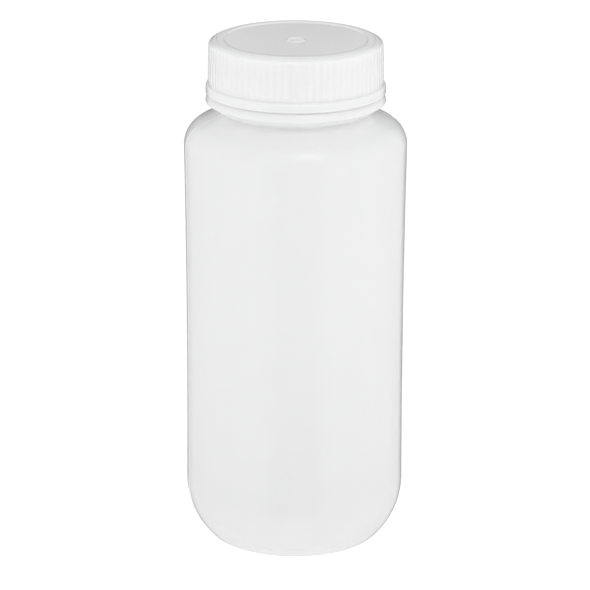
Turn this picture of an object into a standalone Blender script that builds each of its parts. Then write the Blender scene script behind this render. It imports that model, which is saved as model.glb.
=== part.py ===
"""Wide-mouth plastic reagent bottle with a screw cap and a loose sealing liner.

Metres, +Z up. The origin is the centre of the base, on the plane the bottle stands on, and
every piece is turned about +Z. The cap's thread and the neck's thread lie on one helix, so
the cap can be screwed off: it rises by one pitch for each turn about +Z.
"""
import math

import bmesh
import bpy
from mathutils import Matrix

MM = 0.001

# Body, blow moulded in one piece with its neck
BASE_LAND_RADIUS = 26.55 * MM      # outer edge of the flat ring that the bottle stands on
BASE_LAND_WIDTH = 2.2 * MM
BASE_CORNER_RADIUS = 2.6 * MM
HEEL_RADIUS = 26.0 * MM
BODY_LOW_RADIUS = 36.45 * MM       # where the heel ends
BODY_WAIST_RADIUS = 36.35 * MM     # half-way up the side
BODY_TOP_RADIUS = 37.0 * MM        # where the shoulder starts
BODY_TOP = 136.2 * MM
SHOULDER_RADIUS = 8.6 * MM
SHOULDER_SLOPE = 26.0              # degrees above horizontal
BODY_WALL = 1.2 * MM
BASE_WALL = 1.8 * MM
INNER_HEEL_START = -42.0           # degrees on the heel's arc, where the floor's inside meets it
FLOOR_DROP = 0.4 * MM              # how much lower the floor's inside is nearer its edge
PUSH_UP = 2.6 * MM                 # how far the middle of the base is raised

# Neck and mouth
GROOVE_RADIUS = 24.6 * MM          # where the lines of the shoulder and the collar's underside meet
GROOVE_ROUND = 0.5 * MM
COLLAR_SLOPE = 33.0                # of the collar's underside, in degrees above horizontal
COLLAR_RADIUS = 29.8 * MM
COLLAR_WIDEST = 151.2 * MM         # height at which the collar stands out most
COLLAR_TOP = 153.75 * MM
COLLAR_ROUND = 2.2 * MM            # how far in the collar's two rounds reach
FINISH_RADIUS = 25.0 * MM          # outside of the threaded neck, between the threads
FINISH_CHAMFER = 0.6 * MM          # where it stands on the collar
BORE_RADIUS = 23.3 * MM
LIP_ROUND = 0.4 * MM

# Thread, on one right-hand helix
PITCH = 5.08 * MM
HELIX_START = 153.4 * MM           # height of the neck thread's helix at angle 0
NECK_THREAD_CREST = 26.3 * MM
NECK_THREAD_WIDTHS = (2.2 * MM, 1.1 * MM)   # at the wall, at the crest
NECK_THREAD_ANGLES = (390.0, 940.0)
CAP_THREAD_CREST = 25.4 * MM
CAP_THREAD_WIDTHS = (2.0 * MM, 1.0 * MM)
CAP_THREAD_ANGLES = (330.0, 880.0)
THREAD_DROP = 1.75 * MM            # the cap's thread hangs this far under the neck's
THREAD_RUNOUT = 30.0               # degrees over which a thread fades into its wall
THREAD_STEP = 7.5                  # degrees
THREAD_BURY = 0.6 * MM             # how deep a thread's root sits in its wall

# Cap
TOTAL_HEIGHT = 171.86 * MM
CAP_BOTTOM = 154.05 * MM
SKIRT_LOW_RADIUS = 28.75 * MM      # between the ribs
SKIRT_TOP_RADIUS = 28.63 * MM
CAP_EDGE_WIDTH = 3.6 * MM          # the round at the cap's top edge is part of an ellipse
CAP_EDGE_HEIGHT = 2.0 * MM
FLANGE_RADIUS = 29.75 * MM
FLANGE_HEIGHT = 3.0 * MM
FLANGE_ROUND = 1.0 * MM            # round at the flange's upper edge
FLANGE_EDGE = 0.3 * MM             # chamfer at its lower edge
CAP_INNER_RADIUS = 26.9 * MM
LEAD_IN_WIDTH = 0.6 * MM           # chamfer at the cap's open end
LEAD_IN_HEIGHT = 0.8 * MM
INNER_CORNER = 0.4 * MM            # chamfer where the skirt's inside meets the underside of the top
CAP_TOP_THICKNESS = 1.6 * MM
PANEL_RADIUS = 23.4 * MM           # sunk middle of the top
PANEL_DEPTH = 0.36 * MM
RIM_STEP = 0.6 * MM
GATE_RADIUS = 2.9 * MM             # crest of the raised ring round the moulding gate
GATE_HEIGHT = 0.25 * MM
GATE_WIDTHS = (1.1 * MM, 0.4 * MM)  # at the panel, at the crest
GATE_DISH = 0.15 * MM              # how far the middle of the ring is sunk
RIB_COUNT = 75
RIB_HEIGHT = 0.3 * MM
RIB_WIDTHS = (1.3 * MM, 0.9 * MM)  # at the skirt, at the crest
RIB_BURY = 0.4 * MM                # how deep a rib's back sits in the skirt
RIB_BOTTOM = FLANGE_HEIGHT - 0.2 * MM
RIB_TOP_DROP = 1.5 * MM            # the ribs stop this far under the top

# Liner
LINER_RADIUS = 26.2 * MM
LINER_THICKNESS = 1.0 * MM
LINER_CHAMFER = 0.15 * MM
GAP = 0.3 * MM                     # left between pieces that rest on each other

LINER_BOTTOM = TOTAL_HEIGHT - CAP_TOP_THICKNESS - GAP - LINER_THICKNESS
MOUTH_TOP = LINER_BOTTOM - GAP

BOTTLE_STEPS = 48                  # facets round the bottle and the liner
MERGE = 0.00001


def arc(centre_r, centre_z, radius, start_deg, end_deg, steps, upright=None):
    """Points (r, z) on an arc, angles counted from +r towards +z.

    An elliptical arc has its own radius along z, `upright`.
    """
    upright = upright or radius
    angles = [math.radians(start_deg + (end_deg - start_deg) * i / steps) for i in range(steps + 1)]
    return [(centre_r + radius * math.cos(a), centre_z + upright * math.sin(a)) for a in angles]


def heel_centre():
    """Centre of the heel's arc, which runs into the upright wall and the base corner."""
    centre_r = BODY_LOW_RADIUS - HEEL_RADIUS
    reach = HEEL_RADIUS - BASE_CORNER_RADIUS
    across = BASE_LAND_RADIUS - centre_r
    return centre_r, BASE_CORNER_RADIUS + math.sqrt(reach ** 2 - across ** 2)


def side_radius(height):
    """Outer radius of the body's side, a parabola through its foot, waist and top."""
    foot = heel_centre()[1]
    t = (height - foot) / (BODY_TOP - foot)
    return (BODY_LOW_RADIUS * (1 - t) * (1 - 2 * t)
            + 4 * BODY_WAIST_RADIUS * t * (1 - t)
            + BODY_TOP_RADIUS * t * (2 * t - 1))


def shoulder_points(inset, neck_radius, steps):
    """The shoulder from the side's top to the neck's radius, bottom to top."""
    centre_r = BODY_TOP_RADIUS - SHOULDER_RADIUS
    points = arc(centre_r, BODY_TOP, SHOULDER_RADIUS - inset, 0, 90 - SHOULDER_SLOPE, steps)
    last_r, last_z = points[-1]
    climb = (last_r - neck_radius) * math.tan(math.radians(SHOULDER_SLOPE))
    return points + [(neck_radius, last_z + climb)]


def side_points(inset, steps):
    """The body's side between the heel and the shoulder, bottom to top, ends left out."""
    foot = heel_centre()[1]
    heights = [foot + (BODY_TOP - foot) * i / steps for i in range(1, steps)]
    return [(side_radius(z) - inset, z) for z in heights]


def groove_points(foot, steps):
    """The round at the bottom of the groove between the shoulder and the collar, bottom to top."""
    opening = math.radians(SHOULDER_SLOPE + COLLAR_SLOPE)
    middle = math.radians((COLLAR_SLOPE - SHOULDER_SLOPE) / 2)
    reach = GROOVE_ROUND / math.sin(opening / 2)
    centre_r = GROOVE_RADIUS + reach * math.cos(middle)
    centre_z = foot + reach * math.sin(middle)
    return arc(centre_r, centre_z, GROOVE_ROUND, 270 - SHOULDER_SLOPE, 90 + COLLAR_SLOPE, steps)


def collar_points(foot, lower_steps, upper_steps):
    """The collar's two rounds, bottom to top; the lower one runs into the collar's sloping underside."""
    centre_r = COLLAR_RADIUS - COLLAR_ROUND
    climb = math.tan(math.radians(COLLAR_SLOPE))
    drop = COLLAR_WIDEST - foot - climb * (centre_r - GROOVE_RADIUS)
    upright = math.sqrt(drop ** 2 - (climb * COLLAR_ROUND) ** 2)
    start = -math.degrees(math.asin(upright / drop))
    lower = arc(centre_r, COLLAR_WIDEST, COLLAR_ROUND, start, 0, lower_steps, upright)
    upper = arc(centre_r, COLLAR_WIDEST, COLLAR_ROUND, 0, 90, upper_steps, COLLAR_TOP - COLLAR_WIDEST)
    return lower + upper[1:]


def bottle_outside():
    """Outer outline, from the middle of the base up to the lip."""
    heel_r, heel_z = heel_centre()
    meet = -math.degrees(math.atan2(heel_z - BASE_CORNER_RADIUS, BASE_LAND_RADIUS - heel_r))
    land_inner = BASE_LAND_RADIUS - BASE_LAND_WIDTH
    points = [(0, PUSH_UP), (land_inner * 0.55, PUSH_UP * 0.9), (land_inner - 3 * MM, PUSH_UP * 0.6)]
    points += [(land_inner - 1 * MM, PUSH_UP * 0.2), (land_inner, 0)]
    points += arc(BASE_LAND_RADIUS, BASE_CORNER_RADIUS, BASE_CORNER_RADIUS, -90, meet, 3)
    points += arc(heel_r, heel_z, HEEL_RADIUS, meet, 0, 6)[1:]
    points += side_points(0, 4)
    shoulder = shoulder_points(0, GROOVE_RADIUS, 5)
    foot = shoulder[-1][1]
    points += shoulder[:-1] + groove_points(foot, 3) + collar_points(foot, 2, 4)
    points += [(FINISH_RADIUS + FINISH_CHAMFER, COLLAR_TOP), (FINISH_RADIUS, COLLAR_TOP + FINISH_CHAMFER)]
    return points + arc(FINISH_RADIUS - LIP_ROUND, MOUTH_TOP - LIP_ROUND, LIP_ROUND, 0, 90, 2)


def bottle_inside():
    """Inner outline, from the middle of the floor up to the lip."""
    heel_r, heel_z = heel_centre()
    floor = PUSH_UP + BASE_WALL
    points = [(0, floor), (BASE_LAND_RADIUS * 0.6, floor - FLOOR_DROP)]
    points += arc(heel_r, heel_z, HEEL_RADIUS - BODY_WALL, INNER_HEEL_START, 0, 5)
    points += side_points(BODY_WALL, 3)
    points += shoulder_points(BODY_WALL, BORE_RADIUS, 4)
    return points + arc(BORE_RADIUS + LIP_ROUND, MOUTH_TOP - LIP_ROUND, LIP_ROUND, 180, 90, 2)


def cap_section():
    """Cap outline, from the middle of its top, down its outside and up its inside."""
    top = TOTAL_HEIGHT - CAP_BOTTOM
    panel = top - PANEL_DEPTH
    underside = top - CAP_TOP_THICKNESS
    gate_base, gate_crest = (width / 2 for width in GATE_WIDTHS)
    points = [(0, panel - GATE_DISH), (GATE_RADIUS - gate_base, panel - GATE_DISH)]
    points += [(GATE_RADIUS + offset, panel + GATE_HEIGHT) for offset in (-gate_crest, gate_crest)]
    points += [(GATE_RADIUS + gate_base, panel), (PANEL_RADIUS, panel), (PANEL_RADIUS + RIM_STEP, top)]
    edge_r = SKIRT_TOP_RADIUS - CAP_EDGE_WIDTH
    points += arc(edge_r, top - CAP_EDGE_HEIGHT, CAP_EDGE_WIDTH, 90, 0, 4, CAP_EDGE_HEIGHT)
    points += arc(FLANGE_RADIUS - FLANGE_ROUND, FLANGE_HEIGHT - FLANGE_ROUND, FLANGE_ROUND, 90, 0, 4)
    points += [(FLANGE_RADIUS, FLANGE_EDGE), (FLANGE_RADIUS - FLANGE_EDGE, 0)]
    points += [(CAP_INNER_RADIUS + LEAD_IN_WIDTH, 0), (CAP_INNER_RADIUS, LEAD_IN_HEIGHT)]
    points += [(CAP_INNER_RADIUS, underside - INNER_CORNER), (CAP_INNER_RADIUS - INNER_CORNER, underside)]
    return points + [(0, underside)]


def material(name, colour, roughness):
    """Principled material with a plain colour."""
    made = bpy.data.materials.new(name)
    made.use_nodes = True
    shader = made.node_tree.nodes["Principled BSDF"]
    shader.inputs["Base Color"].default_value = (*colour, 1)
    shader.inputs["Roughness"].default_value = roughness
    shader.inputs["Metallic"].default_value = 0
    return made


def add_object(name, mesh, collection, height=0.0):
    """Object on the +Z axis, at a height."""
    made = bpy.data.objects.new(name, mesh)
    made.location = (0, 0, height)
    collection.objects.link(made)
    return made


def turned(name, section, steps, collection, height=0.0):
    """Closed body turned about +Z from a section that starts and ends on the axis."""
    mesh = bpy.data.meshes.new(name)
    edges = [(i, i + 1) for i in range(len(section) - 1)]
    mesh.from_pydata([(r, 0, z) for r, z in section], edges, [])
    made = add_object(name, mesh, collection, height)
    screw = made.modifiers.new("turn", "SCREW")
    screw.axis = "Z"
    screw.angle = math.radians(360)
    screw.steps = steps
    screw.render_steps = steps
    screw.use_merge_vertices = True
    screw.merge_threshold = MERGE
    screw.use_smooth_shade = True
    return made


def helical_ridge(name, wall, crest, widths, angles, drop, collection, height=0.0):
    """Thread ridge on the shared helix, with both ends faded into the wall.

    The ridge stands on a wall of radius `wall`, outwards or inwards, up to radius `crest`.
    """
    outward = 1 if crest > wall else -1
    root = wall - outward * THREAD_BURY
    base_width, crest_width = widths
    half_crest = crest_width / 2
    half_root = (base_width + (base_width - crest_width) * THREAD_BURY / abs(crest - wall)) / 2
    start, end = angles
    count = round((end - start) / THREAD_STEP)
    mesh_data = bmesh.new()
    sections = []
    for i in range(count + 1):
        degrees = start + (end - start) * i / count
        fade = min(1.0, (degrees - start) / THREAD_RUNOUT, (end - degrees) / THREAD_RUNOUT)
        tip = wall - outward * THREAD_BURY / 2
        tip += (crest - tip) * fade
        z = HELIX_START - drop - height + PITCH * degrees / 360
        turn = Matrix.Rotation(math.radians(degrees), 4, "Z")
        corners = [(root, -half_root), (tip, -half_crest), (tip, half_crest), (root, half_root)]
        sections.append([mesh_data.verts.new(turn @ Matrix.Translation((r, 0, z + dz)).to_translation())
                         for r, dz in corners])
    for low, high in zip(sections, sections[1:]):
        for i in range(4):
            j = (i + 1) % 4
            mesh_data.faces.new((low[i], low[j], high[j], high[i]))
    mesh_data.faces.new(sections[0])
    mesh_data.faces.new(sections[-1])
    bmesh.ops.recalc_face_normals(mesh_data, faces=mesh_data.faces)
    mesh = bpy.data.meshes.new(name)
    mesh_data.to_mesh(mesh)
    mesh_data.free()
    return add_object(name, mesh, collection, height)


def grip_ribs(name, collection, height):
    """The upright ribs round the skirt, each a tapered bar whose back is sunk in the skirt."""
    low = RIB_BOTTOM
    high = TOTAL_HEIGHT - CAP_BOTTOM - RIB_TOP_DROP
    base_width, crest_width = RIB_WIDTHS
    mesh_data = bmesh.new()
    for i in range(RIB_COUNT):
        bar = bmesh.ops.create_cube(mesh_data, size=1)["verts"]
        # the middle of a facet lies half a step on from the cap's seam
        turn = Matrix.Rotation(math.tau * (i + 0.5) / RIB_COUNT, 4, "Z")
        for corner in bar:
            outer = corner.co.x > 0
            is_top = corner.co.z > 0
            skirt = SKIRT_TOP_RADIUS if is_top else SKIRT_LOW_RADIUS
            r = skirt + (RIB_HEIGHT if outer else -RIB_BURY)
            width = crest_width if outer else base_width
            corner.co = (r, width * corner.co.y, high if is_top else low)
        bmesh.ops.transform(mesh_data, matrix=turn, verts=bar)
    mesh = bpy.data.meshes.new(name)
    mesh_data.to_mesh(mesh)
    mesh_data.free()
    return add_object(name, mesh, collection, height)


def join(target, tool):
    """Boolean union of a tool object into a part."""
    tool.hide_render = True
    tool.display_type = "WIRE"
    union = target.modifiers.new("add " + tool.name, "BOOLEAN")
    union.operation = "UNION"
    union.solver = "EXACT"
    union.object = tool


def build_bottle(parts, tools):
    # the Screw modifier wants the outer side to run from top to bottom
    section = bottle_inside() + bottle_outside()[::-1][1:]
    bottle = turned("bottle", section, BOTTLE_STEPS, parts)
    thread = helical_ridge("neck_thread", FINISH_RADIUS, NECK_THREAD_CREST, NECK_THREAD_WIDTHS,
                           NECK_THREAD_ANGLES, 0, tools)
    join(bottle, thread)
    bottle.data.materials.append(material("natural_polyethylene", (0.86, 0.88, 0.89), 0.38))


def build_liner(parts):
    middle = LINER_BOTTOM + LINER_THICKNESS / 2
    bpy.ops.mesh.primitive_cylinder_add(vertices=BOTTLE_STEPS, radius=LINER_RADIUS,
                                        depth=LINER_THICKNESS, location=(0, 0, middle))
    liner = bpy.context.active_object
    liner.name = "sealing_liner"
    for collection in list(liner.users_collection):
        collection.objects.unlink(liner)
    parts.objects.link(liner)
    chamfer = liner.modifiers.new("soften rim", "BEVEL")
    chamfer.width = LINER_CHAMFER
    chamfer.segments = 1
    liner.data.shade_smooth()
    liner.data.set_sharp_from_angle(angle=math.radians(35))
    liner.data.materials.append(material("white_foam", (0.92, 0.92, 0.9), 0.8))


def build_cap(parts, tools):
    cap = turned("screw_cap", cap_section(), RIB_COUNT, parts, CAP_BOTTOM)
    thread = helical_ridge("cap_thread", CAP_INNER_RADIUS, CAP_THREAD_CREST, CAP_THREAD_WIDTHS,
                           CAP_THREAD_ANGLES, THREAD_DROP, tools, CAP_BOTTOM)
    join(cap, grip_ribs("cap_ribs", tools, CAP_BOTTOM))
    join(cap, thread)
    cap.data.materials.append(material("natural_polypropylene", (0.88, 0.9, 0.91), 0.3))


def main():
    for old in list(bpy.data.objects):
        bpy.data.objects.remove(old, do_unlink=True)
    parts = bpy.data.collections.new("reagent_bottle")
    tools = bpy.data.collections.new("tools")
    for collection in (parts, tools):
        bpy.context.scene.collection.children.link(collection)
    build_bottle(parts, tools)
    build_liner(parts)
    build_cap(parts, tools)


main()
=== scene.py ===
"""Looks of the wide-mouth plastic reagent bottle: fine meshes, plastics, light and camera.

Metres, +Z up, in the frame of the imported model. Each CAD node is replaced by a finely turned
piece that keeps its outline: the bottle with its thread and parting line, the cap with its
ribs, inner thread and gate mark, and the foam liner.
"""
import math

import bpy
import numpy as np
from mathutils import Matrix, Vector


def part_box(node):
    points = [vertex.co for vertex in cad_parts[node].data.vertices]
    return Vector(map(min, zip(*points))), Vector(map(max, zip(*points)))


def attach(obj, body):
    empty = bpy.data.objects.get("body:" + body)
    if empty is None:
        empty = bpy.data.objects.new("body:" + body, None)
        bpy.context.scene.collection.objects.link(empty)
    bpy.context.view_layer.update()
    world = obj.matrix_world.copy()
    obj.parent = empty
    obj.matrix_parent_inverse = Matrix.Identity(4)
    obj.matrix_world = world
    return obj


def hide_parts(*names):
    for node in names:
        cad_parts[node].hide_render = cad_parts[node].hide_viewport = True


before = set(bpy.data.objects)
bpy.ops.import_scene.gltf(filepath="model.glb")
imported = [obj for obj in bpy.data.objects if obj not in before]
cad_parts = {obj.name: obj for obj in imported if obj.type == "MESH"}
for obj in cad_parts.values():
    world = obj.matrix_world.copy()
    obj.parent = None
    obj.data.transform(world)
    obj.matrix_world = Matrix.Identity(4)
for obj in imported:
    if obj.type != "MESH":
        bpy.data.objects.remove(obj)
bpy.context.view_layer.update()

MM = 0.001

bottle_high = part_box("bottle")[1]
cap_low, cap_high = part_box("screw_cap")
liner_low, liner_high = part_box("sealing_liner")

# Body
BODY_TOP_RADIUS = bottle_high.x                     # where the shoulder starts
BODY_LOW_RADIUS = BODY_TOP_RADIUS - 0.55 * MM       # where the heel ends
BODY_WAIST_RADIUS = BODY_TOP_RADIUS - 0.65 * MM     # half-way up the side
BODY_TOP = 136.2 * MM
BASE_LAND_RADIUS = 26.55 * MM      # outer edge of the flat ring that the bottle stands on
BASE_LAND_WIDTH = 2.2 * MM
BASE_CORNER_RADIUS = 2.6 * MM
HEEL_RADIUS = 26.0 * MM
SHOULDER_RADIUS = 8.6 * MM
SHOULDER_SLOPE = 26.0              # degrees above horizontal
BODY_WALL = 1.2 * MM
BASE_WALL = 1.8 * MM
INNER_HEEL_START = -42.0           # degrees on the heel's arc, where the floor's inside meets it
FLOOR_DROP = 0.3 * MM              # how much lower the floor's inside is nearer its edge
PUSH_UP = 2.6 * MM                 # how far the middle of the base is raised
PUSH_UP_SLOPE = 4.0 * MM           # width of the slope round the raised middle

# Neck and mouth
GROOVE_RADIUS = 24.6 * MM          # where the lines of the shoulder and the collar's underside meet
GROOVE_ROUND = 0.5 * MM
GROOVE_HEIGHT = 147.6 * MM
COLLAR_SLOPE = 33.0                # of the collar's underside, in degrees above horizontal
COLLAR_RADIUS = 29.8 * MM
COLLAR_WIDEST = 151.2 * MM         # height at which the collar stands out most
COLLAR_TOP = 153.93 * MM
COLLAR_ROUND = 2.2 * MM            # how far in the collar's two rounds reach
FINISH_RADIUS = 25.0 * MM          # outside of the threaded neck, between the threads
FINISH_FILLET = 0.6 * MM           # where it stands on the collar
FINISH_START = COLLAR_TOP + 0.5 * MM    # the mesh has fine rows for the thread above this height
BORE_RADIUS = 23.3 * MM
MOUTH_TOP = bottle_high.z
LIP_ROUND = 0.4 * MM

# Thread, on the CAD helix
PITCH = 5.08 * MM
HELIX_START = 153.4 * MM           # height of the neck thread's helix at angle 0
THREAD_RUNOUT = math.radians(30)
NECK_THREAD_HEIGHT = 1.3 * MM
NECK_THREAD_HALF_WIDTHS = (1.1 * MM, 0.55 * MM)     # at the wall, at the crest
NECK_THREAD_ANGLES = (math.radians(390), math.radians(940))
CAP_THREAD_HEIGHT = 1.5 * MM
CAP_THREAD_HALF_WIDTHS = (1.0 * MM, 0.5 * MM)
CAP_THREAD_ANGLES = (math.radians(330), math.radians(880))
CAP_THREAD_DROP = 1.75 * MM        # the cap's thread hangs this far under the neck's

# Mould parting line, where the two halves of the blow mould met
PARTING_ANGLES = (math.radians(12), math.radians(192))
PARTING_HEIGHT = 0.18 * MM
PARTING_TOP = GROOVE_HEIGHT + 0.4 * MM
PARTING_HALF_WIDTH = 0.4 * MM

# Cap
CAP_BOTTOM = cap_low.z
CAP_TOP = cap_high.z
FLANGE_RADIUS = cap_high.x
FLANGE_HEIGHT = 3.0 * MM
FLANGE_ROUND = 1.0 * MM            # round at the flange's upper edge
FLANGE_FILLET = 0.4 * MM           # between the flange and the skirt
FLANGE_EDGE = 0.12 * MM            # round at its lower edge
SKIRT_TOP_RADIUS = 28.63 * MM      # between the ribs
CAP_EDGE_WIDTH = 3.6 * MM          # the round at the cap's top edge is part of an ellipse
CAP_EDGE_HEIGHT = 2.0 * MM
CAP_INNER_RADIUS = 26.9 * MM
LEAD_IN_WIDTH = 0.8 * MM           # chamfer at the cap's open end
LEAD_IN_HEIGHT = 0.9 * MM
INNER_CORNER = 0.4 * MM            # round where the skirt's inside meets the underside of the top
CAP_TOP_THICKNESS = 1.6 * MM
PANEL_RADIUS = 23.3 * MM           # sunk middle of the top
PANEL_DEPTH = 0.36 * MM
PANEL_DISH = 0.3 * MM              # the middle of the panel lies this much under its edge
RIM_STEP = 0.8 * MM                # width of the slope between the panel and the rim
RIM_GROOVE_RADIUS = 26.3 * MM
RIM_GROOVE_HALF_WIDTH = 0.35 * MM
RIM_GROOVE_DEPTH = 0.14 * MM
GATE_RADIUS = 2.9 * MM             # crest of the raised ring round the moulding gate
GATE_HALF_WIDTH = 0.45 * MM
GATE_HEIGHT = 0.35 * MM
GATE_DISH = 0.15 * MM              # how far the middle of the ring is sunk
GATE_STUB_HEIGHT = 0.1 * MM        # the trimmed gate itself
GATE_STUB_RADII = (0.5 * MM, 0.8 * MM)              # of its top, of its foot
RIB_COUNT = 75
RIB_HEIGHT = 0.3 * MM
RIB_VALLEY = 0.14 * MM             # the valleys between the ribs are filled up to this height
RIB_FOOT = 1.4 * MM                # the ribs rise out of the skirt over this height
RIB_END = (0.8 * MM, 0.1 * MM)     # gone, and still whole, where the cap's edge is this far in
BAND_HEIGHT = 165.0 * MM           # seam of the mould round the skirt
BAND_STEP = 0.07 * MM
BAND_WIDTH = 0.25 * MM

# Liner
LINER_ROUND = 0.3 * MM
LIP_PRINT_DEPTH = 0.12 * MM
LIP_PRINT_HALF_WIDTH = 1.0 * MM

# Fineness of the meshes
BOTTLE_STEPS = 256
STEPS_PER_RIB = 12
THREAD_ROW = 0.22 * MM
BOTTLE_ROW = 6.0 * MM
CAP_ROW = 0.7 * MM
LINER_ROW = 3.0 * MM

# Light
TENT_FRONT = 0.86                  # the tent's light from the front and the back, level
TENT_SIDES = 0.12                  # extra from the sides
TENT_ZENITH = 0.02                 # how much darker it is overhead
GLOSS_WALLS = 0.62                 # the gloss reflects pale walls at the sides, and black flags
FLAG_EDGES = (0.8, 0.9)            # in front and behind, from these shares of Y in a direction
GLOW = 0.55                        # a pale patch over the horizon breaks the flags
GLOW_LOW = (0.14, 0.21)            # it begins
GLOW_HIGH = (0.23, 0.29)           # and ends between these shares of Z
GLOW_SIDES = (0.2, 0.3)            # and, at both sides, between these shares of X
SOFTBOX_PLACE = (0.25, -0.75, 1.15)
SOFTBOX_TARGET = (0, 0, 0.1)
SOFTBOX_SIZE = 0.6
SOFTBOX_WATTS = 1.5
INNER_HEIGHTS = (0.045, 0.08, 0.115, 0.144)         # of the lamps on the bottle's axis
INNER_RADIUS = 0.012
INNER_WATTS = 0.0045
FLOOR_RADIUS = 6.0

# Camera, in front of the bottle and a little above it
CAMERA_DISTANCE = 1.2
CAMERA_HEIGHT = 0.46117
CAMERA_PITCH = 0.305               # radians under the horizon
CAMERA_ROLL = 0.0037
CAMERA_LENS = 228.6                # mm
CAMERA_SENSOR = 36.0               # mm across


def arc(centre_r, centre_z, radius, start_deg, end_deg, steps, upright=None):
    """Points (r, z) on an arc, angles counted from +r towards +z.

    An elliptical arc has its own radius along z, `upright`.
    """
    upright = upright or radius
    angles = [math.radians(start_deg + (end_deg - start_deg) * i / steps) for i in range(steps + 1)]
    return [(centre_r + radius * math.cos(a), centre_z + upright * math.sin(a)) for a in angles]


def refine(points, longest):
    """The same outline with no stretch longer than `longest`."""
    refined = [points[0]]
    for (r0, z0), (r1, z1) in zip(points, points[1:]):
        pieces = max(1, math.ceil(math.hypot(r1 - r0, z1 - z0) / longest))
        refined += [(r0 + (r1 - r0) * i / pieces, z0 + (z1 - z0) * i / pieces)
                    for i in range(1, pieces + 1)]
    return refined


def smooth(x):
    """Smooth step from 0 to 1 for x from 0 to 1."""
    x = np.clip(x, 0, 1)
    return x * x * (3 - 2 * x)


def lathe(name, outline, angles, relief=None):
    """Closed mesh turned about +Z from an outline that runs down the outside, axis to axis.

    relief(angles, radii, heights) gives new radii for the whole grid of points.
    """
    rings = np.array(outline[1:-1])
    radii, around = np.meshgrid(rings[:, 0], angles, indexing="ij")
    heights = np.meshgrid(rings[:, 1], angles, indexing="ij")[0]
    if relief:
        radii = relief(around, radii, heights)
    points = np.stack([radii * np.cos(around), radii * np.sin(around), heights], axis=-1)
    columns = len(angles)
    last = len(rings) - 1
    poles = [(0, 0, outline[0][1]), (0, 0, outline[-1][1])]
    first_pole = len(rings) * columns
    step = np.arange(columns)
    following = (step + 1) % columns
    faces = []
    for i in range(last):
        upper, lower = i * columns, (i + 1) * columns
        corners = [upper + step, lower + step, lower + following, upper + following]
        faces += np.stack(corners, axis=1).tolist()
    faces += [(first_pole, a, b) for a, b in zip(step.tolist(), following.tolist())]
    bottom = last * columns
    faces += [(first_pole + 1, bottom + b, bottom + a) for a, b in zip(step.tolist(), following.tolist())]
    mesh = bpy.data.meshes.new(name)
    mesh.from_pydata(points.reshape(-1, 3).tolist() + poles, [], faces)
    mesh.shade_smooth()
    mesh.set_sharp_from_angle(angle=math.radians(60))
    piece = bpy.data.objects.new(name, mesh)
    bpy.context.scene.collection.objects.link(piece)
    return piece


def thread_ridge(around, heights, drop, height, half_widths, angle_range):
    """Height of a thread's ridge above its wall at every point of a grid."""
    base, crest = half_widths
    start, end = angle_range
    ridge = np.zeros_like(heights)
    for turn in range(int(end // math.tau) + 1):
        along = around + turn * math.tau
        centre = HELIX_START - drop + PITCH * along / math.tau
        flank = smooth((base - np.abs(heights - centre)) / (base - crest))
        fade = smooth(np.minimum(along - start, end - along) / THREAD_RUNOUT)
        ridge = np.maximum(ridge, height * flank * fade)
    return ridge


# ---------------------------------------------------------------- bottle

def heel_centre():
    """Centre of the heel's arc, which runs into the upright wall and the base corner."""
    centre_r = BODY_LOW_RADIUS - HEEL_RADIUS
    reach = HEEL_RADIUS - BASE_CORNER_RADIUS
    across = BASE_LAND_RADIUS - centre_r
    return centre_r, BASE_CORNER_RADIUS + math.sqrt(reach ** 2 - across ** 2)


def side_radius(height):
    """Outer radius of the body's side, a parabola through its foot, waist and top."""
    foot = heel_centre()[1]
    t = (height - foot) / (BODY_TOP - foot)
    return (BODY_LOW_RADIUS * (1 - t) * (1 - 2 * t)
            + 4 * BODY_WAIST_RADIUS * t * (1 - t)
            + BODY_TOP_RADIUS * t * (2 * t - 1))


def side_points(inset, steps):
    """The body's side between the heel and the shoulder, bottom to top, ends left out."""
    foot = heel_centre()[1]
    heights = [foot + (BODY_TOP - foot) * i / steps for i in range(1, steps)]
    return [(side_radius(z) - inset, z) for z in heights]


def shoulder_points(inset, neck_radius, steps):
    """The shoulder from the side's top to the neck's radius, bottom to top."""
    centre_r = BODY_TOP_RADIUS - SHOULDER_RADIUS
    points = arc(centre_r, BODY_TOP, SHOULDER_RADIUS - inset, 0, 90 - SHOULDER_SLOPE, steps)
    last_r, last_z = points[-1]
    climb = (last_r - neck_radius) * math.tan(math.radians(SHOULDER_SLOPE))
    return points + [(neck_radius, last_z + climb)]


def groove_points(foot, steps):
    """The round at the bottom of the groove between the shoulder and the collar, bottom to top."""
    opening = math.radians(SHOULDER_SLOPE + COLLAR_SLOPE)
    middle = math.radians((COLLAR_SLOPE - SHOULDER_SLOPE) / 2)
    reach = GROOVE_ROUND / math.sin(opening / 2)
    centre_r = GROOVE_RADIUS + reach * math.cos(middle)
    centre_z = foot + reach * math.sin(middle)
    return arc(centre_r, centre_z, GROOVE_ROUND, 270 - SHOULDER_SLOPE, 90 + COLLAR_SLOPE, steps)


def collar_points(foot, lower_steps, upper_steps):
    """The collar's two rounds, bottom to top; the lower one runs into the collar's sloping underside."""
    centre_r = COLLAR_RADIUS - COLLAR_ROUND
    climb = math.tan(math.radians(COLLAR_SLOPE))
    drop = COLLAR_WIDEST - foot - climb * (centre_r - GROOVE_RADIUS)
    upright = math.sqrt(drop ** 2 - (climb * COLLAR_ROUND) ** 2)
    start = -math.degrees(math.asin(upright / drop))
    lower = arc(centre_r, COLLAR_WIDEST, COLLAR_ROUND, start, 0, lower_steps, upright)
    upper = arc(centre_r, COLLAR_WIDEST, COLLAR_ROUND, 0, 90, upper_steps, COLLAR_TOP - COLLAR_WIDEST)
    return lower + upper[1:]


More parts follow.
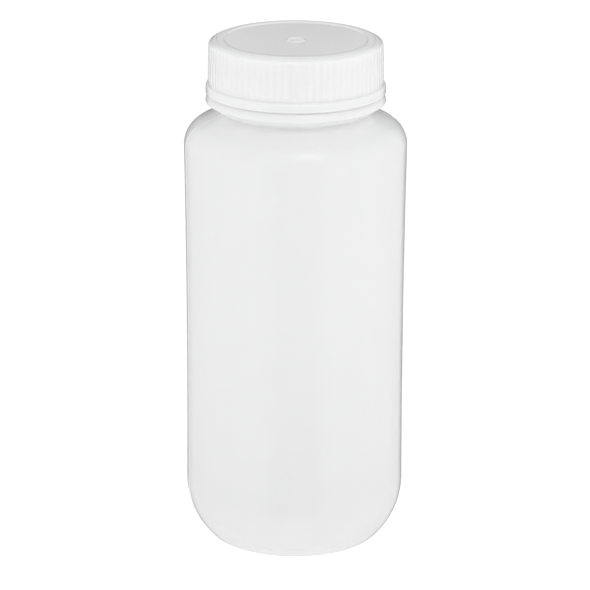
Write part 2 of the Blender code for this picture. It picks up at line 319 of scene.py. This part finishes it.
def bottle_outside():
    """Outer outline, from the middle of the base up to the lip."""
    heel_r, heel_z = heel_centre()
    meet = -math.degrees(math.atan2(heel_z - BASE_CORNER_RADIUS, BASE_LAND_RADIUS - heel_r))
    land_inner = BASE_LAND_RADIUS - BASE_LAND_WIDTH
    points = [(0, PUSH_UP)]
    points += [(land_inner - PUSH_UP_SLOPE * (1 - t), PUSH_UP * (1 - smooth(t)))
               for t in np.linspace(0, 1, 11)]
    points += arc(BASE_LAND_RADIUS, BASE_CORNER_RADIUS, BASE_CORNER_RADIUS, -90, meet, 8)
    points += arc(heel_r, heel_z, HEEL_RADIUS, meet, 0, 24)[1:]
    points += side_points(0, 24)
    shoulder = shoulder_points(0, GROOVE_RADIUS, 16)
    foot = shoulder[-1][1]
    points += shoulder[:-1] + groove_points(foot, 8) + collar_points(foot, 8, 12)
    points += arc(FINISH_RADIUS + FINISH_FILLET, COLLAR_TOP + FINISH_FILLET, FINISH_FILLET, 270, 180, 4)
    return points + arc(FINISH_RADIUS - LIP_ROUND, MOUTH_TOP - LIP_ROUND, LIP_ROUND, 0, 90, 5)


def bottle_inside():
    """Inner outline, from the middle of the floor up to the lip."""
    heel_r, heel_z = heel_centre()
    floor = PUSH_UP + BASE_WALL
    points = [(0, floor), (BASE_LAND_RADIUS * 0.6, floor - FLOOR_DROP)]
    points += arc(heel_r, heel_z, HEEL_RADIUS - BODY_WALL, INNER_HEEL_START, 0, 16)
    points += side_points(BODY_WALL, 12)
    points += shoulder_points(BODY_WALL, BORE_RADIUS, 12)
    return points + arc(BORE_RADIUS + LIP_ROUND, MOUTH_TOP - LIP_ROUND, LIP_ROUND, 180, 90, 5)


def build_bottle():
    """Hollow bottle: body, neck, collar and threaded mouth in one piece."""
    inside = refine(bottle_inside(), BOTTLE_ROW)
    outside = refine(bottle_outside(), BOTTLE_ROW)
    finish = [p for p in outside if p[1] > FINISH_START]
    outside = outside[:-len(finish)] + refine(finish, THREAD_ROW)
    outline = inside + outside[::-1][1:]

    def relief(around, radii, heights):
        outer = (np.arange(len(radii)) >= len(inside) - 1)[:, None]
        ridge = thread_ridge(around, heights, 0, NECK_THREAD_HEIGHT,
                             NECK_THREAD_HALF_WIDTHS, NECK_THREAD_ANGLES)
        # the parting line fades over a millimetre at each of its ends
        on_body = outer * smooth(heights / MM) * smooth((PARTING_TOP - heights) / MM)
        for seam in PARTING_ANGLES:
            aside = np.abs((around - seam + math.pi) % math.tau - math.pi) * radii
            radii = radii + on_body * PARTING_HEIGHT * smooth(1 - aside / PARTING_HALF_WIDTH)
        return radii + np.where(outer, ridge, 0)

    return lathe("bottle_shell", outline, bottle_angles(), relief)


def bottle_angles():
    """Angles round the bottle, closer together at the parting lines."""
    fine = PARTING_HALF_WIDTH / BODY_TOP_RADIUS
    angles = set(np.arange(BOTTLE_STEPS) * math.tau / BOTTLE_STEPS)
    for seam in PARTING_ANGLES:
        angles = {a for a in angles if abs(a - seam) > 1.3 * fine}
        angles |= {seam + fine * k / 4 for k in range(-5, 6)}
    return np.array(sorted(angles))


# ---------------------------------------------------------------- cap

def cap_outline():
    """The cap's outside, from the middle of its top down, and its inside, from there up."""
    panel = CAP_TOP - PANEL_DEPTH
    underside = CAP_TOP - CAP_TOP_THICKNESS
    dish = panel - GATE_DISH
    stub_top, stub_foot = GATE_STUB_RADII
    points = [(0, dish + GATE_STUB_HEIGHT), (stub_top, dish + GATE_STUB_HEIGHT), (stub_foot, dish)]
    points += [(GATE_RADIUS + offset, gate_height(offset, dish, panel))
               for offset in np.linspace(-GATE_HALF_WIDTH, GATE_HALF_WIDTH, 13)]
    points += [(GATE_RADIUS + (PANEL_RADIUS - GATE_RADIUS) * i / 12, panel) for i in range(3, 12)]
    points = [(r, z - PANEL_DISH * (1 - (r / PANEL_RADIUS) ** 2)) for r, z in points]
    points += [(PANEL_RADIUS + RIM_STEP * t, panel + PANEL_DEPTH * float(smooth(t)))
               for t in np.linspace(0, 1, 9)]
    edge = arc(SKIRT_TOP_RADIUS - CAP_EDGE_WIDTH, CAP_TOP - CAP_EDGE_HEIGHT, CAP_EDGE_WIDTH,
               90, 0, 48, CAP_EDGE_HEIGHT)
    points += [(r, z - rim_groove(r)) for r, z in edge]
    # the skirt's foot is as wide as the centre line of the flange's round
    flange_r = FLANGE_RADIUS - FLANGE_ROUND
    flange_z = CAP_BOTTOM + FLANGE_HEIGHT - FLANGE_ROUND
    rise = math.sqrt(FLANGE_ROUND ** 2 + 2 * FLANGE_ROUND * FLANGE_FILLET)
    meet = math.degrees(math.atan2(rise, FLANGE_FILLET))
    points += arc(flange_r + FLANGE_FILLET, flange_z + rise, FLANGE_FILLET, 180, 180 + meet, 6)
    points += arc(flange_r, flange_z, FLANGE_ROUND, meet, 0, 10)[1:]
    points += arc(FLANGE_RADIUS - FLANGE_EDGE, CAP_BOTTOM + FLANGE_EDGE, FLANGE_EDGE, 0, -90, 6)
    points += [(CAP_INNER_RADIUS + LEAD_IN_WIDTH, CAP_BOTTOM)]
    points += [(CAP_INNER_RADIUS, CAP_BOTTOM + LEAD_IN_HEIGHT)]
    inside = refine([points[-1], (CAP_INNER_RADIUS, underside - INNER_CORNER)], THREAD_ROW)[1:]
    inside += arc(CAP_INNER_RADIUS - INNER_CORNER, underside - INNER_CORNER, INNER_CORNER, 0, 90, 4)[1:]
    return points, inside + [(0, underside)]


def rim_groove(radius):
    """Depth of the groove round the rim at a radius."""
    across = (radius - RIM_GROOVE_RADIUS) / RIM_GROOVE_HALF_WIDTH
    return RIM_GROOVE_DEPTH * max(0, 1 - across ** 2) ** 2


def gate_height(offset, dish, panel):
    """Height of the gate's ring at a distance from its crest: dish inside, panel outside."""
    across = offset / GATE_HALF_WIDTH
    ground = dish + (panel - dish) * float(smooth((across + 1) / 2))
    return ground + (panel + GATE_HEIGHT - ground) * (1 - across ** 2) ** 2


def build_cap():
    """Screw cap: ribbed skirt, plain flange, sunk top panel with its gate mark, inner thread."""
    outside, inside = cap_outline()
    outside = refine(outside, CAP_ROW)
    angles = np.arange(RIB_COUNT * STEPS_PER_RIB) * math.tau / (RIB_COUNT * STEPS_PER_RIB)

    def relief(around, radii, heights):
        outer = (np.arange(len(radii)) < len(outside) - 1)[:, None]
        wave = RIB_VALLEY + (RIB_HEIGHT - RIB_VALLEY) * (np.cos(around * RIB_COUNT) + 1) / 2
        low = smooth((heights - CAP_BOTTOM - FLANGE_HEIGHT) / RIB_FOOT)
        gone, whole = RIB_END
        high = smooth((radii - SKIRT_TOP_RADIUS + gone) / (gone - whole))
        band = smooth((heights - BAND_HEIGHT) / BAND_WIDTH)
        ribs = (wave - BAND_STEP * band) * low * high
        ridge = thread_ridge(around, heights, CAP_THREAD_DROP, CAP_THREAD_HEIGHT,
                             CAP_THREAD_HALF_WIDTHS, CAP_THREAD_ANGLES)
        return radii + np.where(outer, ribs, -ridge)

    return lathe("cap_shell", outside + inside, angles, relief)


# ---------------------------------------------------------------- liner

def build_liner():
    """Foam disc with soft edges and the lip's print on its underside."""
    radius = liner_high.x
    low, high = liner_low.z, liner_high.z
    edge_r = radius - LINER_ROUND
    lip_middle = (BORE_RADIUS + FINISH_RADIUS) / 2
    outline = [(0, high), (radius * 0.5, high), (edge_r, high)]
    outline += arc(edge_r, high - LINER_ROUND, LINER_ROUND, 90, 0, 5)[1:]
    outline += arc(edge_r, low + LINER_ROUND, LINER_ROUND, 0, -90, 5)
    outline += arc(lip_middle, low, LIP_PRINT_HALF_WIDTH, 0, 180, 12, LIP_PRINT_DEPTH)
    outline += [(radius * 0.5, low), (0, low)]
    angles = np.arange(BOTTLE_STEPS) * math.tau / BOTTLE_STEPS
    return lathe("liner_disc", refine(outline, LINER_ROW), angles)


# ---------------------------------------------------------------- materials

RECESS_PAINTED_LIGHT = (0.985, 0.985, 0.985)   # of both plastics, in the groove and in the joint under the cap: painted light, paler there so that the shade of these recesses hardly shows


class Nodes:
    """Small helper that adds nodes to a material and links them."""

    def __init__(self, name):
        self.material = bpy.data.materials.new(name)
        self.material.use_nodes = True
        self.tree = self.material.node_tree
        self.shader = self.tree.nodes["Principled BSDF"]
        self.place = self.tree.nodes.new("ShaderNodeTexCoord").outputs["Object"]

    def add(self, kind, inputs=None, **settings):
        node = self.tree.nodes.new(kind)
        for key, value in settings.items():
            setattr(node, key, value)
        for key, value in (inputs or {}).items():
            if isinstance(value, bpy.types.NodeSocket):
                self.tree.links.new(value, node.inputs[key])
            else:
                node.inputs[key].default_value = value
        return node

    def noise(self, scale, stretch=(1, 1, 1), detail=3.0):
        """Noise in the object's own metres, with `scale` features a metre."""
        place = self.add("ShaderNodeMapping", {"Vector": self.place, "Scale": stretch})
        return self.add("ShaderNodeTexNoise", {"Vector": place.outputs[0], "Scale": scale,
                                               "Detail": detail}).outputs["Fac"]

    def between(self, factor, low, high):
        """Number that goes from low to high as a noise goes from 0.3 to 0.7."""
        return self.add("ShaderNodeMapRange", {"Value": factor, "From Min": 0.3, "From Max": 0.7,
                                               "To Min": low, "To Max": high}).outputs[0]

    def mix(self, share, first, second):
        """Colour between two others, each of them fixed numbers or a socket."""
        made = self.add("ShaderNodeMix", {"Factor": share}, data_type="RGBA")
        for socket, colour in ((made.inputs[6], first), (made.inputs[7], second)):
            if isinstance(colour, bpy.types.NodeSocket):
                self.tree.links.new(colour, socket)
            else:
                socket.default_value = (*colour, 1)
        return made.outputs[2]

    def uneven(self, share, colour, spread=0.01):
        """A colour that gets paler by up to the spread."""
        return self.mix(share, colour, [channel + spread for channel in colour])

    def height(self):
        """Height above the surface that the bottle stands on."""
        return self.add("ShaderNodeSeparateXYZ", {"Vector": self.place}).outputs["Z"]

    def radius(self):
        """Distance from the bottle's axis."""
        level = self.add("ShaderNodeVectorMath", {0: self.place, 1: (1, 1, 0)}, operation="MULTIPLY")
        length = self.add("ShaderNodeVectorMath", {0: level.outputs[0]}, operation="LENGTH")
        return length.outputs["Value"]

    def change(self, measure, start, end, first, second):
        """Colour that goes from the first to the second as a height or radius goes from start to end."""
        share = self.add("ShaderNodeMapRange", {"Value": measure, "From Min": start,
                                                "From Max": end}).outputs[0]
        return self.mix(share, first, second)

    def bump(self, height, distance, normal=None):
        inputs = {"Height": height, "Distance": distance, "Strength": 1.0}
        if normal:
            inputs["Normal"] = normal
        return self.add("ShaderNodeBump", inputs).outputs[0]

    def finish(self, colour, roughness, normal, **constants):
        self.tree.links.new(colour, self.shader.inputs["Base Color"])
        self.tree.links.new(roughness, self.shader.inputs["Roughness"])
        self.tree.links.new(normal, self.shader.inputs["Normal"])
        for key, value in constants.items():
            self.shader.inputs[key.replace("_", " ")].default_value = value
        return self.material


def bottle_plastic():
    """Natural polyethylene: milky, waxy, with faint upright flow streaks from the parison."""
    nodes = Nodes("natural_polyethylene")
    streaks = nodes.noise(90, (1, 1, 0.06))
    cloud = nodes.noise(28)
    grain = nodes.noise(1500, detail=2.0)
    share = nodes.between(streaks, 0, 1)
    wall = nodes.uneven(share, (0.852, 0.854, 0.855))
    ring = nodes.uneven(share, (0.852, 0.855, 0.858))
    recess_painted_light = nodes.uneven(share, RECESS_PAINTED_LIGHT, 0.005)
    # painted shade: darker along the bottom edge, a contact shade where the bottle stands on the floor
    foot = nodes.uneven(share, (0.745, 0.748, 0.751))
    height = nodes.height()
    body = nodes.change(height, 0.3 * MM, 1.5 * MM, foot, wall)
    # painted light: paler in the groove between the shoulder and the collar, against the shade there
    shell = nodes.change(height, GROOVE_HEIGHT - 1.8 * MM, GROOVE_HEIGHT - 0.4 * MM, body, recess_painted_light)
    collar = nodes.change(height, GROOVE_HEIGHT + 0.8 * MM, COLLAR_WIDEST - MM, shell, ring)
    # painted light: paler at the collar's top, in the shade of the joint under the cap
    colour = nodes.change(height, COLLAR_TOP - 1.2 * MM, COLLAR_TOP - 0.3 * MM, collar, recess_painted_light)
    roughness = nodes.between(cloud, 0.15, 0.2)
    normal = nodes.bump(cloud, 0.00012)
    normal = nodes.bump(grain, 0.000003, normal)
    return nodes.finish(colour, roughness, normal, IOR=1.5, Subsurface_Weight=1.0,
                        Subsurface_Radius=(1.0, 1.0, 1.0), Subsurface_Scale=0.003)


def cap_plastic():
    """Natural polypropylene: clearer and glossier than the bottle, with fine mould grain."""
    nodes = Nodes("natural_polypropylene")
    cloud = nodes.noise(60)
    grain = nodes.noise(1200, detail=2.0)
    share = nodes.between(cloud, 0, 1)
    # painted shade: the flange is darker than the skirt to hold down the brighter light it catches at its
    # thick edge
    flange = nodes.uneven(share, (0.867, 0.87, 0.872))
    skirt = nodes.uneven(share, (0.952, 0.955, 0.957))
    face = nodes.uneven(share, (0.945, 0.948, 0.95))
    # painted shade: darker round the top edge, standing in for the dark refractions in that thick corner
    rim = nodes.uneven(share, (0.84, 0.843, 0.845))
    height = nodes.height()
    flange_top = CAP_BOTTOM + FLANGE_HEIGHT
    recess_painted_light = nodes.uneven(share, RECESS_PAINTED_LIGHT, 0.005)
    # painted light: paler at the cap's lower edge, in the shade of the joint over the collar
    foot = nodes.change(height, CAP_BOTTOM + 0.2 * MM, CAP_BOTTOM + 0.7 * MM, recess_painted_light, flange)
    side = nodes.change(height, flange_top - 0.4 * MM, flange_top + 0.8 * MM, foot, skirt)
    # painted shade: the rim's darker colour fades in towards the top edge
    corner = nodes.change(height, CAP_TOP - CAP_EDGE_HEIGHT, CAP_TOP - 0.7 * MM, side, rim)
    colour = nodes.change(nodes.radius(), PANEL_RADIUS, PANEL_RADIUS + RIM_STEP, face, corner)
    roughness = nodes.between(grain, 0.12, 0.17)
    normal = nodes.bump(cloud, 0.00004)
    normal = nodes.bump(grain, 0.000002, normal)
    return nodes.finish(colour, roughness, normal, IOR=1.49, Subsurface_Weight=1.0,
                        Subsurface_Radius=(1.0, 1.0, 1.0), Subsurface_Scale=0.002)


def liner_foam():
    """White closed-cell foam: matt, with fine cells."""
    nodes = Nodes("white_foam")
    voronoi = nodes.add("ShaderNodeTexVoronoi", {"Vector": nodes.place, "Scale": 2600.0})
    cells = voronoi.outputs["Distance"]
    cloud = nodes.noise(150)
    colour = nodes.mix(nodes.between(cloud, 0, 1), (0.9, 0.9, 0.885), (0.94, 0.94, 0.93))
    roughness = nodes.between(cloud, 0.75, 0.88)
    return nodes.finish(colour, roughness, nodes.bump(cells, 0.00004))


# ---------------------------------------------------------------- stage

def floor():
    """White light table under the bottle. Glossy rays pass it, so the gloss reflects the darker room."""
    bpy.ops.mesh.primitive_circle_add(vertices=128, radius=FLOOR_RADIUS, fill_type="NGON")
    table = bpy.context.active_object
    table.name = "studio_floor"
    table.visible_glossy = False
    paint = bpy.data.materials.new("studio_white")
    paint.use_nodes = True
    shader = paint.node_tree.nodes["Principled BSDF"]
    shader.inputs["Base Color"].default_value = (0.1, 0.1, 0.1, 1)
    shader.inputs["Roughness"].default_value = 0.9
    shader.inputs["Specular IOR Level"].default_value = 0.0
    shader.inputs["Emission Color"].default_value = (1, 1, 1, 1)
    shader.inputs["Emission Strength"].default_value = 0.98
    table.data.materials.append(paint)


def studio_world():
    """A white tent, a little brighter at the sides; the gloss sees pale walls and black flags instead."""
    world = bpy.data.worlds.new("studio")
    bpy.context.scene.world = world
    world.use_nodes = True
    tree = world.node_tree

    def compute(operation, first, second, third=0.0):
        node = tree.nodes.new("ShaderNodeMath")
        node.operation = operation
        for socket, value in zip(node.inputs, (first, second, third)):
            if isinstance(value, bpy.types.NodeSocket):
                tree.links.new(value, socket)
            else:
                socket.default_value = value
        return node.outputs[0]

    def ramp(value, ends, first, last):
        node = tree.nodes.new("ShaderNodeMapRange")
        node.interpolation_type = "SMOOTHSTEP"
        tree.links.new(value, node.inputs["Value"])
        for name, number in zip(("From Min", "From Max", "To Min", "To Max"), (*ends, first, last)):
            node.inputs[name].default_value = number
        return node.outputs["Result"]

    direction = tree.nodes.new("ShaderNodeTexCoord").outputs["Generated"]
    parts = tree.nodes.new("ShaderNodeSeparateXYZ")
    tree.links.new(direction, parts.inputs[0])
    x, y, z = (parts.outputs[axis] for axis in "XYZ")
    level = compute("MULTIPLY_ADD", compute("MULTIPLY", x, x), TENT_SIDES, TENT_FRONT)
    tent = compute("MULTIPLY_ADD", compute("MAXIMUM", z, 0.0), -TENT_ZENITH, level)
    beside = ramp(compute("ABSOLUTE", y, 0.0), FLAG_EDGES, 1.0, 0.0)
    walls = compute("MULTIPLY", beside, GLOSS_WALLS)
    patch = compute("MULTIPLY", ramp(z, GLOW_LOW, 0.0, 1.0), ramp(z, GLOW_HIGH, 1.0, 0.0))
    patch = compute("MULTIPLY", patch, ramp(compute("ABSOLUTE", x, 0.0), GLOW_SIDES, 1.0, 0.0))
    gloss = compute("MAXIMUM", walls, compute("MULTIPLY", patch, GLOW))
    path = tree.nodes.new("ShaderNodeLightPath")
    choice = tree.nodes.new("ShaderNodeMix")
    tree.links.new(path.outputs["Is Glossy Ray"], choice.inputs["Factor"])
    tree.links.new(tent, choice.inputs["A"])
    tree.links.new(gloss, choice.inputs["B"])
    background = tree.nodes["Background"]
    background.inputs["Color"].default_value = (1, 1, 1, 1)
    tree.links.new(choice.outputs["Result"], background.inputs["Strength"])


def softbox():
    """Round area light in front of the bottle and above it, turned to the bottle's middle."""
    data = bpy.data.lights.new("front_softbox", "AREA")
    data.shape = "DISK"
    data.size = SOFTBOX_SIZE
    data.energy = SOFTBOX_WATTS
    made = bpy.data.objects.new("front_softbox", data)
    made.location = SOFTBOX_PLACE
    towards = Vector(SOFTBOX_TARGET) - Vector(SOFTBOX_PLACE)
    made.rotation_euler = towards.to_track_quat("-Z", "Y").to_euler()
    bpy.context.scene.collection.objects.link(made)


def inner_lights():
    """Weak lamps on the axis: they stand in for daylight that has passed the translucent walls."""
    for height in INNER_HEIGHTS:
        data = bpy.data.lights.new("inner_light", "POINT")
        data.shadow_soft_size = INNER_RADIUS
        data.energy = INNER_WATTS
        made = bpy.data.objects.new("inner_light", data)
        made.location = (0, 0, height)
        bpy.context.scene.collection.objects.link(made)


def camera():
    """Long lens in front of the bottle, a little above it, as the product is pictured."""
    data = bpy.data.cameras.new("camera")
    data.lens = CAMERA_LENS
    data.sensor_width = CAMERA_SENSOR
    made = bpy.data.objects.new("camera", data)
    made.rotation_euler = (math.radians(90) - CAMERA_PITCH, 0, 0)
    made.location = (0, -CAMERA_DISTANCE, CAMERA_HEIGHT)
    bpy.context.scene.collection.objects.link(made)
    bpy.context.view_layer.update()
    made.matrix_world = made.matrix_world @ Matrix.Rotation(CAMERA_ROLL, 4, "Z")
    bpy.context.scene.camera = made


def main():
    """Build the pieces, put them on their bodies and set the stage."""
    pieces = [
        (build_bottle(), bottle_plastic(), "bottle", "bottle", "bottle_plastic"),
        (build_cap(), cap_plastic(), "cap", "screw_cap", "cap_plastic"),
        (build_liner(), liner_foam(), "liner", "sealing_liner", "liner_foam"),
    ]
    for piece, material, body, node, slot in pieces:
        piece.data.materials.append(material)
        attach(piece, body)
        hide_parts(node)
    floor()
    studio_world()
    softbox()
    inner_lights()
    camera()
    bpy.context.scene.view_settings.view_transform = "Standard"


main()
